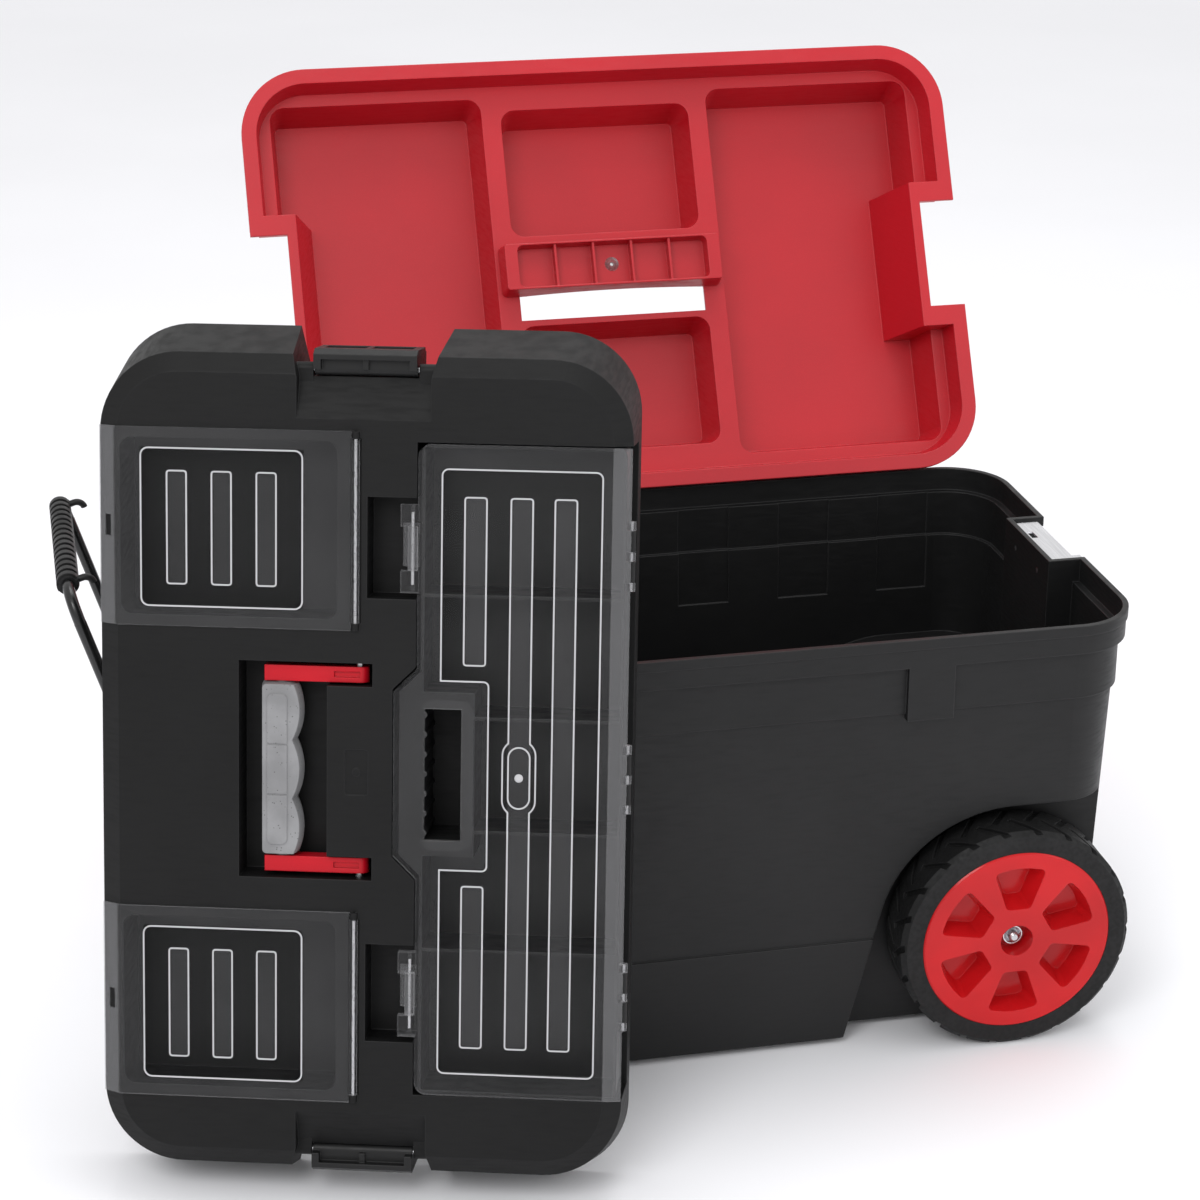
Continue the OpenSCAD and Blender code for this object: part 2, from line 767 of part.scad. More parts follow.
module handle_tube() {
    half = handle_w / 2;
    lap = 0.5;
    color(black) {
        for (y = [-half, half]) {
            translate([bend_x - lap, y, handle_z]) rotate([0, 90, 0])
                cylinder(h = leg_end_x - bend_x + lap, d = tube_d);
            translate([bend_x, y, handle_z + leg_bend_r]) rotate([90, 0, 0]) rotate(270 - handle_rise)
                tube_bend(leg_bend_r, handle_rise);
        }
        on_bow() {
            for (s = [-1, 1]) {
                translate([s * half, -lap, 0]) rotate([-90, 0, 0]) cylinder(h = rise_l + 2 * lap, d = tube_d);
                translate([s * (half - grip_bend_r), rise_l, 0]) rotate(s > 0 ? 0 : 90)
                    tube_bend(grip_bend_r, 90);
            }
            translate([0, rise_l + grip_bend_r, 0]) rotate([0, 90, 0])
                cylinder(h = handle_w - 2 * grip_bend_r + 2 * lap, d = tube_d, center = true);
        }
    }
}

// Ribbed sleeve with smooth spines and a hook at each end
module handle_sleeve() {
    pitch = sleeve_l / sleeve_ribs;
    core_d = sleeve_d - 2 * sleeve_groove;
    spine_w = 4;
    hook_d = 5;
    hook_r = 6;
    arm = sleeve_d / 2 + 3;
    color(black) on_bow() translate([0, rise_l + grip_bend_r, 0]) difference() {
        union() {
            rotate([0, 90, 0]) cylinder(h = sleeve_l, d = core_d, center = true);
            for (i = [0 : sleeve_ribs - 1])
                translate([(i + 0.5) * pitch - sleeve_l / 2, 0, 0]) rotate([0, 90, 0])
                    cylinder(h = pitch * 0.55, d = sleeve_d, center = true);
            intersection() {
                rotate([0, 90, 0]) cylinder(h = sleeve_l, d = sleeve_d - 0.2, center = true);
                cube([sleeve_l, spine_w, sleeve_d], center = true);
            }
            for (s = [-1, 1])
                translate([s * (sleeve_l / 2 - hook_d), 0, 0]) {
                    cylinder(h = arm, d = hook_d);
                    translate([0, -hook_r, arm]) rotate([0, -90, 0])
                        rotate_extrude(angle = 90) translate([hook_r, 0]) circle(d = hook_d);
                }
        }
        rotate([0, 90, 0]) cylinder(h = sleeve_l + 2 * eps, d = tube_d + 2 * hair, center = true);
    }
}

module handle_stops() {
    color(black) for (y = [-1, 1])
        translate([leg_end_x - stop_t, y * handle_w / 2, handle_z]) rotate([0, 90, 0]) difference() {
            cylinder(h = stop_t, d = guide_d);
            translate([0, 0, -eps]) cylinder(h = stop_t + 2 * eps, d = tube_d + 2 * hair);
        }
}

// Tray pieces: y runs from the front rim to the rear rim, z out of the open side
module on_tray() {
    translate([tray_x, tray_y, tray_z]) rotate([90 - tray_lean, 0, 0])
        translate([0, tray_d / 2, 0]) children();
}

module tray_level(inset, from_z, to_z, foot_in = 0) {
    translate([0, 0, from_z])
        drafted_box(tray_l - 2 * inset, tray_d - 2 * inset, tray_r - inset, to_z - from_z, 0, foot_in);
}

module tray_pocket(from, to, grow) {
    depth = tray_depth - ledge_depth + grow + (grow > 0 ? 0 : eps);
    size = to - from;
    centre = (from + to) / 2;
    translate([centre[0], centre[1], -tray_depth - grow])
        drafted_box(size[0] + 2 * grow, size[1] + 2 * grow, pocket_r + grow, depth, 0, pocket_draft);
}

// Wall that slopes from the rim beside each latch notch down to the tray's floor
module notch_slopes(grow) {
    foot_z = -tray_depth - tray_t - eps;
    both_ends()
        rotate([90, 0, 0]) linear_extrude(slope_l - 2 * grow, center = true) polygon([
            [notch_wall_u + grow, 2 * eps], [notch_wall_u - slope_in + grow, foot_z],
            [tray_l / 2, foot_z], [tray_l / 2, 2 * eps]
        ]);
}

// Side and middle pockets; a slope in each side pocket leaves room for the tub's latch recess
module tray_pockets(grow) {
    outer_u = tray_l / 2 - pocket_in;
    outer_v = tray_d / 2 - pocket_in;
    difference() {
        both_ends() tray_pocket([side_pocket_u, -outer_v], [outer_u, outer_v], grow);
        notch_slopes(grow);
    }
    front_and_rear() tray_pocket([-mid_half, mid_outer - mid_pocket_d], [mid_half, mid_outer], grow);
}

module tray_notches(grow, top_z) {
    both_ends()
        span([tub_l / 2 - recess_depth - grow, -recess_w / 2 - grow, -tray_depth - tray_t - eps],
             [tray_l / 2 + eps, recess_w / 2 + grow, top_z]);
}

module tray() {
    hole_half = mid_half - 2;
    hole_v = mid_outer - mid_pocket_d - tray_t - 2;
    bar_rest = 4;
    color(red) on_tray() difference() {
        union() {
            tray_level(0, -lip_bead, 0);
            tray_level(lip_step, -lip_h, -lip_bead + hair);
            tray_level(rim_wall_in, -ledge_depth - tray_t, 0);
            tray_pockets(tray_t);
        }
        difference() {
            tray_level(lip_t, -lip_h - eps, -tray_t);
            tray_level(rim_wall_in, -lip_h - 2 * eps, 0);
        }
        difference() {
            tray_level(ledge_in, -ledge_depth, eps, ledge_draft);
            notch_slopes(0);
        }
        tray_pockets(0);
        tray_notches(notch_groove, -tray_t);
        tray_notches(0, eps);
        span([-hole_half, -hole_v, -tray_depth - tray_t - eps],
             [hole_half, bar_back + bar_w / 2 - bar_rest, eps]);
    }
}

// Grip bar behind the middle opening, with a row of bit compartments in its top
module tray_bar() {
    rib_t = 2;
    rib_drop = 1.5;
    end_t = 13;
    side_t = 4;
    floor = bar_h - cell_depth;
    arch_h = floor - 3;
    arch_half = mid_half - 4;
    arch_r = (arch_half * arch_half + arch_h * arch_h) / (2 * arch_h);
    box_l = bar_l - 2 * end_t;
    cell_l = box_l / bar_cells;
    color(red) on_tray() translate([0, bar_back, -ledge_depth]) difference() {
        drafted_box(bar_l, bar_w, 5, bar_h, 2.5, 0);
        translate([0, 0, arch_h - arch_r]) rotate([90, 0, 0])
            cylinder(h = bar_w + 2 * eps, r = arch_r, center = true, $fn = 240);
        difference() {
            translate([0, 0, floor]) drafted_box(box_l, bar_w - 2 * side_t, 5, cell_depth + eps, 0, 1.5);
            for (i = [1 : bar_cells - 1])
                translate([(i - bar_cells / 2) * cell_l, 0, bar_h / 2 - rib_drop])
                    cube([rib_t, bar_w, bar_h], center = true);
        }
        translate([0, 0, -eps]) cylinder(h = bar_h, d = rivet_d + 2 * hair);
    }
}

// Clear rivet in the floor of the middle compartment
module bar_rivet() {
    head = 2.5;
    shank = 3;
    color(clear) on_tray() translate([0, bar_back, bar_h - cell_depth - ledge_depth]) {
        cylinder(h = head, d1 = 4 * rivet_d, d2 = 2.4 * rivet_d);
        translate([0, 0, -shank]) cylinder(h = shank, d = rivet_d);
    }
}

// Lid pieces: x across the lid, y along it from its middle, z out of its face
module on_lid() {
    translate([lid_x, lid_y, 0]) rotate([90 - lid_lean, 0, lid_yaw]) translate([0, lid_l / 2, 0]) children();
}

// A thin slice of the lid's outline, drawn in by the given amounts
module lid_slice(z, in_u, in_v, r) {
    translate([0, 0, z]) drafted_box(lid_w - 2 * in_u, lid_l - 2 * in_v, r, hair);
}

// The lid's block with sloped ends and bevelled edges, drawn in all round by t
module lid_block(t) {
    shoulder = lid_h - t - bevel_h;
    in_u = side_draft + t;
    in_v = end_slope + t;
    hull() {
        lid_slice(0, t, t, lid_r - t);
        lid_slice(shoulder, in_u, in_v, lid_r - t);
    }
    hull() {
        lid_slice(shoulder, in_u, in_v, lid_r - t);
        lid_slice(lid_h - t - hair, in_u + bevel_w, in_v + bevel_w, lid_r - t - bevel_w);
    }
}

// Latch notch in each end of the lid, with a ramp up to its face
module lid_notches(grow) {
    wall_v = lid_l / 2 - notch_depth - grow;
    half = notch_w / 2 + grow;
    front_and_rear() {
        translate([0, 0, -eps]) linear_extrude(lid_h + 2 * eps) polygon([
            [-half, wall_v], [half, wall_v],
            [half + notch_flare, lid_l / 2 + eps], [-half - notch_flare, lid_l / 2 + eps]
        ]);
        rotate([90, 0, 90]) linear_extrude(2 * half, center = true) polygon([
            [wall_v - ramp_l, lid_h - grow], [wall_v - ramp_l, lid_h + eps],
            [wall_v + eps, lid_h + eps], [wall_v + eps, lid_h - ramp_drop - grow]
        ]);
    }
}

module square_bins(grow) {
    w = cover_edge - cover_u - 2 * bin_in + 2 * grow;
    l = cover_l - 3 * bin_in + 2 * grow;
    for (s = [-1, 1])
        translate([-(cover_edge + cover_u) / 2 - bin_in / 2, s * cover_pitch, lid_h - bin_depth - grow])
            drafted_box(w, l, bin_r + grow, bin_depth + grow + eps);
}

// Grooves in the lid's face for the hinges of the square covers
module hinge_grooves(grow) {
    half = barrel_d / 2 + 1.2 + grow;
    for (s = [-1, 1])
        span([-hinge_u - half, s * cover_pitch - cover_l / 2 + lug_l - grow, hinge_w - half],
             [-hinge_u + half, s * cover_pitch + cover_l / 2 - lug_l + grow, lid_h + eps]);
}

// Lugs on the lid's face that hold the pins of the square covers; in a short lid they stand on the ramp
module hinge_lugs() {
    on_ramp = cover_pitch + cover_l / 2 - (lid_l / 2 - notch_depth - ramp_l);
    root = lid_t + max(0, on_ramp * ramp_drop / ramp_l);
    for (s = [-1, 1], e = [-1, 1])
        translate([-hinge_u, s * cover_pitch + e * (cover_l - lug_l) / 2, 0]) rotate([90, 0, 0])
            linear_extrude(lug_l, center = true) {
                translate([0, hinge_w]) circle(d = barrel_d);
                translate([-barrel_d / 2, lid_h - root]) square([barrel_d, hinge_w - lid_h + root]);
            }
}

// Recess for the carry handle: a pocket for the grip and a channel for each arm
module carry_recess(grow) {
    half = arms_span / 2 + handle_clear + grow;
    block = arms_span / 2 - arm_w - handle_clear / 2 - grow;
    deep = lid_h - handle_recess - grow;
    pocket_u = -pivot_u - arm_l;
    span([pocket_u - grip_w / 2 - finger_room - grow, -half, deep],
         [pocket_u + grip_w / 2 + finger_room + handle_clear + grow, half, lid_h + eps]);
    front_and_rear()
        span([pocket_u, block, deep], [-pivot_u + arm_t / 2 + handle_clear + grow, half, lid_h + eps]);
}

// Seat of the organizer, open at the lid's right side, with finger pockets beside its latches
module organizer_seat(grow) {
    front_u = cover_left - org_gap - grow;
    half = org_l / 2 + org_gap + grow;
    bulge = case_grip_l / 2 + org_gap + grow;
    out = case_grip_out;
    pocket_half = 35 + grow;
    pocket_u = 3 - grow;
    pocket_w = lid_h - 28 - grow;
    seat_w = org_floor - seat_gap - grow;
    span([front_u, -half, seat_w], [lid_w, half, lid_h + eps]);
    translate([0, 0, seat_w]) linear_extrude(lid_h - seat_w + eps) polygon([
        [front_u + eps, -bulge - out - eps], [front_u - out, -bulge],
        [front_u - out, bulge], [front_u + eps, bulge + out + eps]
    ]);
    for (s = [-1, 1])
        span([pocket_u, s * latch_pitch - pocket_half, pocket_w],
             [org_u, s * latch_pitch + pocket_half, lid_h + eps]);
}

module lid() {
    color(black) on_lid() difference() {
        union() {
            lid_block(0);
            hinge_lugs();
        }
        difference() {
            translate([0, 0, -eps]) lid_block(lid_t);
            lid_notches(lid_t);
            square_bins(lid_t);
            hinge_grooves(lid_t);
            carry_recess(lid_t);
            organizer_seat(lid_t);
        }
        difference() {
            lid_notches(0);
            latch_ears();
            hinge_lugs();
        }
        square_bins(0);
        hinge_grooves(0);
        carry_recess(0);
        organizer_seat(0);
        middle_mark();
        translate([0, 0, -eps]) liner_plate(hair, liner_t + eps);
        carry_axis(arms_span + 2 * (handle_clear + lid_t) + eps, pivot_d + 2 * hair);
        cover_axes(cover_l, pin_d + 2 * hair);
        latch_axes(notch_w + 2 * eps, latch_pin_d + 2 * hair);
    }
}

// Shallow sunk panel with a round stud between the handle's arms
module middle_mark() {
    size = [16, 32];
    sunk = 0.9;
    stud_d = 6;
    translate([-pivot_u - 1, 0, lid_h - sunk]) difference() {
        drafted_box(size[0], size[1], 2, sunk + eps);
        translate([0, 0, -eps]) cylinder(h = sunk + eps, d = stud_d);
    }
}

module liner_plate(grow, t) {
    inset = lid_t * 2 / 3 - grow;
    difference() {
        drafted_box(lid_w - 2 * inset, lid_l - 2 * inset, lid_r - inset, t);
        lid_notches(inset);
    }
}

// Flat panel that closes the underside
module lid_liner() {
    color(black) on_lid() liner_plate(-hair, liner_t);
}

module carry_axis(l, d) {
    translate([-pivot_u, 0, pivot_w]) rotate([90, 0, 0]) cylinder(h = l, d = d, center = true);
}

module cover_axes(l, d) {
    for (s = [-1, 1])
        translate([-hinge_u, s * cover_pitch, hinge_w]) rotate([90, 0, 0])
            cylinder(h = l, d = d, center = true);
}

module latch_axes(l, d) {
    front_and_rear()
        translate([0, latch_axis_v, latch_axis_w]) rotate([0, 90, 0]) cylinder(h = l, d = d, center = true);
}

// Ears in each end notch, on both sides of the latch
module latch_ears() {
    ear_u = end_latch_w / 2 + 1;
    front_and_rear()
        for (s = [-1, 1])
            translate([s * (ear_u + notch_w / 4), 0, 0]) rotate([90, 0, 90])
                linear_extrude(notch_w / 2, center = true) {
                translate([latch_axis_v, latch_axis_w]) circle(latch_eye_r);
                translate([latch_axis_v - 2 * latch_eye_r, latch_axis_w - latch_eye_r])
                    square([2 * latch_eye_r, 2 * latch_eye_r]);
            }
}

module carry_pins() {
    reach = handle_clear + lid_t + arm_w;
    color(steel) on_lid() front_and_rear()
        translate([-pivot_u, arms_span / 2 - arm_w, pivot_w]) rotate([-90, 0, 0])
            cylinder(h = reach, d = pivot_d);
}

module cover_pins() {
    color(steel) on_lid() cover_axes(cover_l - 2, pin_d);
}

module latch_pins() {
    color(steel) on_lid() latch_axes(notch_w, latch_pin_d);
}

// Red arms with an eye at the pivot and a slot in the top
module carry_arms() {
    eye_r = arm_t / 2;
    slot = [17, 4, 3];
    foot = 12;
    color(red) on_lid() front_and_rear() difference() {
        translate([0, arms_span / 2, 0]) rotate([90, 0, 0]) linear_extrude(arm_w) {
            translate([-pivot_u, pivot_w]) circle(eye_r);
            translate([-pivot_u - arm_l - foot, pivot_w - eye_r]) square([arm_l + foot, arm_t]);
        }
        carry_axis(arms_span + eps, pivot_d + 2 * hair);
        translate([-pivot_u - slot[0] / 2, arms_span / 2 - arm_w / 2, pivot_w + eye_r])
            cube(slot + [eps, 0, eps], center = true);
        translate([-pivot_u - arm_l, arms_span / 2 - arm_w - eps, pivot_w])
            rotate([-90, 0, 0]) cylinder(h = grip_spigot[0] + eps, d = grip_spigot[1] + 2 * hair);
    }
}

// Grey grip, straight on its outer edge and with three round swells along its inner edge
module carry_grip() {
    l = arms_span - 2 * arm_w - 2 * hair;
    swells = 3;
    swell = 5;
    draft = 2;
    half = grip_t / 2;
    chord = l / swells / 2;
    swell_r = (chord * chord + swell * swell) / (2 * swell);
    core_w = grip_w - swell;
    color([0.62, 0.62, 0.63]) on_lid() translate([-pivot_u - arm_l, 0, pivot_w]) {
        for (s = [0, 1]) mirror([0, 0, s]) {
            translate([-swell / 2, 0, 0]) drafted_box(core_w, l, 5, half, draft, 0);
            intersection() {
                for (i = [0 : swells - 1])
                    translate([grip_w / 2 - swell_r, (2 * i + 1 - swells) * chord, 0])
                        cylinder(h = half, r1 = swell_r, r2 = swell_r - draft, $fn = 96);
                span([0, -l / 2 + draft, 0], [grip_w, l / 2 - draft, half]);
            }
        }
        translate([-swell / 2, 0, half - eps]) grip_panel(core_w * 0.56, l * 0.86, swells, eps + 0.8);
        front_and_rear() translate([0, l / 2 - eps, 0]) rotate([-90, 0, 0])
            cylinder(h = grip_spigot[0] + eps, d = grip_spigot[1]);
    }
}

// Raised panel with a cross groove at each valley between the swells
module grip_panel(w, l, parts, h) {
    groove = 1.2;
    difference() {
        drafted_box(w, l, 4, h);
        for (i = [1 : parts - 1])
            translate([0, (i - parts / 2) * l / parts, h]) cube([w + eps, groove, groove], center = true);
    }
}

// Clear cover with a sloping outer lip, raised lines and a hinge barrel
module square_cover(s) {
    under = lid_h + cover_gap;
    top = under + cover_t;
    line = [1.1, 0.8];
    frame_in = [33, 17, 13.5];
    slot = [14.6, 79];
    slot_pitch = 31;
    disc_d = 7.5;
    disc_in = 7;
    sunk = 0.3;
    catch = [4.5, 15];
    root_u = -hinge_u - barrel_d / 2;
    outer_u = -cover_edge - bevel_w;
    flat_l = root_u + cover_edge;
    frame_w = flat_l - frame_in[0] - frame_in[1];
    frame_u = root_u - frame_in[0] - frame_w / 2;
    barrel_l = cover_l - 2 * lug_l - 2 * seat_gap;
    color(clear) on_lid() translate([0, s * cover_pitch, 0]) difference() {
        union() {
            rotate([90, 0, 0]) linear_extrude(cover_l, center = true) polygon([
                [root_u, under], [-cover_edge, under], [outer_u, under - bevel_h],
                [outer_u, top - bevel_h], [0.5 - cover_edge, top], [root_u, top]
            ]);
            translate([frame_u, 0, top]) {
                raised_frame(frame_w, cover_l - 2 * frame_in[2], 6, line);
                for (i = [-1 : 1])
                    translate([i * slot_pitch, 0, 0]) raised_frame(slot[0], slot[1], 2.5, line);
            }
            translate([-hinge_u, 0, hinge_w]) rotate([90, 0, 0])
                cylinder(h = barrel_l, d = barrel_d, center = true);
            span([root_u - eps, -barrel_l / 2, under], [-hinge_u, barrel_l / 2, top]);
        }
        translate([-hinge_u, 0, hinge_w]) rotate([90, 0, 0])
            cylinder(h = cover_l, d = pin_d + 2 * guide_fit, center = true);
        for (u = [root_u - disc_in, frame_u, disc_in - cover_edge], v = [-1, 1])
            translate([u, v * (cover_l / 2 - disc_in), top - sunk]) cylinder(h = sunk + eps, d = disc_d);
        span([outer_u + catch[0], -catch[1] / 2, under - bevel_h - eps],
             [outer_u + 2 * catch[0], catch[1] / 2, top + eps]);
    }
}

// Area of a raised line with all that lies inside it, or only what lies inside it
module line_area(w, l, r, line, inset) {
    down = inset > 0 ? eps : 0.2;
    up = line[1] + (inset > 0 ? eps : 0);
    translate([0, 0, -down]) drafted_box(w - 2 * inset, l - 2 * inset, r - inset, up + down);
}

// Raised line round a rounded rectangle
module raised_frame(w, l, r, line) {
    difference() {
        line_area(w, l, r, line, 0);
        line_area(w, l, r, line, line[0]);
    }
}

module upper_cover() square_cover(1);
module lower_cover() square_cover(-1);

// Latch that hangs in an end notch of the lid, with a hook at its free end and a ribbed pocket
module end_latch() {
    slack = 0.5;
    back_v = latch_axis_v - latch_eye_r + slack;
    front_v = back_v + end_latch_t;
    top = latch_axis_w + latch_eye_r;
    foot = top - end_latch_h;
    hook = 3;
    frame = 5;
    rib = 4;
    lip = [7, 6];
    lip_v = front_v - lip[0];
    color(black) difference() {
        union() {
            rotate([90, 0, 90]) linear_extrude(end_latch_w, center = true) {
                translate([latch_axis_v, latch_axis_w]) circle(latch_eye_r);
                polygon([
                    [back_v, foot], [front_v - hook, foot], [front_v - hook, foot + hook],
                    [front_v, foot + 2 * hook], [front_v, top], [front_v - lip[0] / 2, top + lip[1]],
                    [lip_v, top + lip[1]], [lip_v, top], [latch_axis_v, top], [back_v, latch_axis_w]
                ]);
            }
            for (s = [-1, 1])
                translate([s * (end_latch_w - frame) / 2, 0, 0])
                    span([-frame / 2, latch_axis_v, top - eps], [frame / 2, lip_v + eps, top + lip[1]]);
            span([-rib / 2, latch_axis_v, top - eps], [rib / 2, lip_v + eps, top + lip[1] / 2]);
        }
        translate([0, latch_axis_v, latch_axis_w]) rotate([0, 90, 0])
            cylinder(h = end_latch_w + 2 * eps, d = latch_pin_d + 2 * guide_fit, center = true);
        for (s = [0, 1]) mirror([s, 0, 0])
            span([rib / 2, front_v - end_latch_t / 2, foot + 3 * hook],
                 [end_latch_w / 2 - frame, front_v + eps, top - 3 * hook]);
    }
}

module upper_latch() on_lid() end_latch();
module lower_latch() on_lid() mirror([0, 1, 0]) end_latch();

// Children at each of the three hinges of the organizer's cover
module at_hinges() {
    for (v = [-hinge_pitch, 0, hinge_pitch])
        translate([org_hinge_u, v, org_hinge_w]) rotate([90, 0, 0]) children();
}

module at_snaps() {
    for (s = [-1, 1])
        translate([0, s * latch_pitch, 0]) children();
}

module case_cells() {
    ends = org_l / 2 - org_t;
    rims = [-ends - org_t / 2, -divider_out, -divider_in, divider_in, divider_out, ends + org_t / 2];
    difference() {
        for (i = [0 : 4])
            span([org_u + org_t, rims[i] + org_t / 2, org_floor + org_t],
                 [org_right - org_t, rims[i + 1] - org_t / 2, org_top + eps]);
        span([org_u, -case_grip_l / 2, org_floor], [surround_u, case_grip_l / 2, org_top + 2 * eps]);
    }
}

// Outline of the grip that bulges out of the case's front edge, drawn in by inset
module grip_outline(inset) {
    half = case_grip_l / 2 - inset * 0.4;
    out = case_grip_out - inset;
    root = half + out + eps;
    translate([org_u, 0]) polygon([[eps, -root], [-out, -half], [-out, half], [eps, root]]);
}

// Opening for the fingers behind the grip, with a row of small ridges along the grip
module finger_opening(grow) {
    ridges = 7;
    ridge_pitch = 13.9;
    ridge_d = 5;
    ridge_out = 1.6;
    edge_u = org_u + bar_in - grow;
    difference() {
        translate([edge_u, -finger_l / 2 - grow]) square([finger_w + 2 * grow, finger_l + 2 * grow]);
        for (i = [0 : ridges - 1])
            translate([edge_u + ridge_out - ridge_d / 2, (i - (ridges - 1) / 2) * ridge_pitch])
                circle(d = ridge_d, $fn = 32);
    }
}

// Parts case with a grip and a finger opening in its front edge
module organizer() {
    case_r = 6;
    grip_h = 20;
    catch = [catch_out, 18, 3];
    color(black) on_lid() difference() {
        union() {
            translate([(org_u + org_right) / 2, 0, org_floor])
                drafted_box(org_right - org_u, org_l, case_r, org_h);
            span([org_u, -case_grip_l / 2, org_floor], [surround_u, case_grip_l / 2, org_top]);
            translate([0, 0, org_top - grip_h]) linear_extrude(grip_h) grip_outline(1.5);
            at_snaps()
                span([org_u - catch[0], -catch[1] / 2, catch_w],
                     [org_u + eps, catch[1] / 2, catch_w + catch[2]]);
            at_hinges()
                for (s = [-1, 1])
                    translate([0, 0, s * prong_pitch / 2]) linear_extrude(knuckle_l, center = true) {
                        circle(d = org_barrel_d);
                        translate([-org_barrel_d, -org_barrel_d / 2]) square([org_barrel_d, org_barrel_d]);
                    }
        }
        case_cells();
        translate([0, 0, org_floor - eps]) linear_extrude(org_h + 2 * eps) finger_opening(0);
        at_hinges() cylinder(h = hinge_l + eps, d = org_pin_d + 2 * hair, center = true);
    }
}

module organizer_pins() {
    color(steel) on_lid() at_hinges() cylinder(h = hinge_l, d = org_pin_d, center = true);
}

// Outline of the organizer's cover
module case_outline() {
    r = 9;
    half = org_l / 2;
    polygon([
        [cover_left + r, -half], [org_hinge_u, -half], [org_hinge_u, half], [cover_left + r, half],
        [cover_left, half - r], [cover_left, r - half]
    ]);
    for (v = [-1, 1])
        translate([cover_left + r, v * (half - r)]) circle(r);
    translate([-cover_over, 0]) grip_outline(0);
}

// Area inside the line on the organizer's cover, which steps in round the finger opening
module case_line(inset, h) {
    corner_r = 5;
    notch_r = 3;
    around = [9, 8];
    right_in = 3;
    left = cover_left + line_in;
    right = org_hinge_u - line_in - right_in;
    half = org_l / 2 - line_in;
    notch = [surround_u + around[0] - left, case_grip_l / 2 + around[1]];
    difference() {
        translate([(left + right) / 2, 0, 0])
            drafted_box(right - left - 2 * inset, 2 * (half - inset), corner_r - inset, h);
        translate([left, 0, -eps])
            drafted_box(2 * (notch[0] + inset), 2 * (notch[1] + inset), notch_r + inset, h + 2 * eps);
    }
}

// Clear cover with a sloping flange, raised lines, hinge prongs and ears for its latches
module organizer_cover() {
    under = org_top + cover_gap;
    top = under + case_cover_t;
    line = [1.1, 0.8];
    sunk = 0.2;
    flange = [13, 1.8];
    slot_pitch = 30;
    slot_w = 16;
    slot_in = 19;
    slot_r = 2.5;
    slot_u = org_hinge_u - line_in - slot_pitch * 0.94;
    slot_l = org_l - 2 * (line_in + slot_in);
    short_l = org_l * 0.255;
    short_u = slot_u - slot_pitch * 2.05;
    ring = [[24, 54, 11], [16, 44, 7.9]];
    stud = [8, 1.4];
    ear = [12, 15, 7];
    ear_v = latch_w / 2 + seat_gap;
    band = [7, 10, 0.4];
    color(clear) on_lid() difference() {
        union() {
            translate([0, 0, under]) linear_extrude(case_cover_t) case_outline();
            translate([0, 0, top - sunk]) difference() {
                case_line(0, line[1] + sunk);
                translate([0, 0, -eps]) case_line(line[0], line[1] + sunk + 2 * eps);
            }
            for (s = [-1, 1])
                translate([short_u, s * (slot_l - short_l) / 2, top])
                    raised_frame(slot_w, short_l, slot_r, line);
            translate([slot_u, 0, top]) raised_frame(slot_w, slot_l, slot_r, line);
            translate([slot_u - slot_pitch, 0, top]) {
                difference() {
                    union() {
                        line_area(slot_w, slot_l, slot_r, line, 0);
                        line_area(ring[0][0], ring[0][1], ring[0][2], line, 0);
                    }
                    line_area(slot_w, slot_l, slot_r, line, line[0]);
                    line_area(ring[0][0], ring[0][1], ring[0][2], line, line[0]);
                }
                raised_frame(ring[1][0], ring[1][1], ring[1][2], line);
                translate([0, 0, -sunk]) cylinder(h = stud[1] + sunk, d1 = stud[0], d2 = stud[0] / 2);
            }
            difference() {
                translate([(org_u + surround_u) / 2, 0, top - sunk])
                    drafted_box(surround_u - org_u - 1, finger_l + 2 * band[0], band[1], band[2] + sunk);
                span([org_u, -finger_l / 2, top - eps],
                     [org_u + bar_in + finger_w, finger_l / 2, top + band[2] + eps]);
            }
            at_snaps()
                for (s = [0, 1]) mirror([0, s, 0])
                    span([cover_left - ear[0], ear_v, top - ear[2]],
                         [cover_left + hair, ear_v + ear[1], top]);
            at_hinges()
                for (z = [-1, 0, 1])
                    translate([0, 0, z * prong_pitch]) linear_extrude(prong_l, center = true) {
                        circle(d = org_barrel_d);
                        translate([-org_barrel_d / 2, 0])
                            square([org_barrel_d / 2, top - org_hinge_w - flange[1]]);
                    }
        }
        rotate([90, 0, 0]) linear_extrude(org_l + eps, center = true) polygon([
            [org_hinge_u - flange[0], top], [org_hinge_u + eps, top - flange[1]],
            [org_hinge_u + eps, top + eps], [org_hinge_u - flange[0], top + eps]
        ]);
        translate([0, 0, under - eps]) linear_extrude(case_cover_t + 3 * eps) finger_opening(0.6);
        at_hinges() cylinder(h = hinge_l + eps, d = org_pin_d + 2 * guide_fit, center = true);
        at_snaps() snap_axis(latch_w + 2 * ear[1] + eps, pin_d + 2 * hair);
    }
}

module snap_axis(l, d) {
    translate([snap_u, 0, snap_w]) rotate([90, 0, 0]) cylinder(h = l, d = d, center = true);
}

module case_latch_pins() {
    color(steel) on_lid() at_snaps() snap_axis(latch_w + 20, pin_d);
}

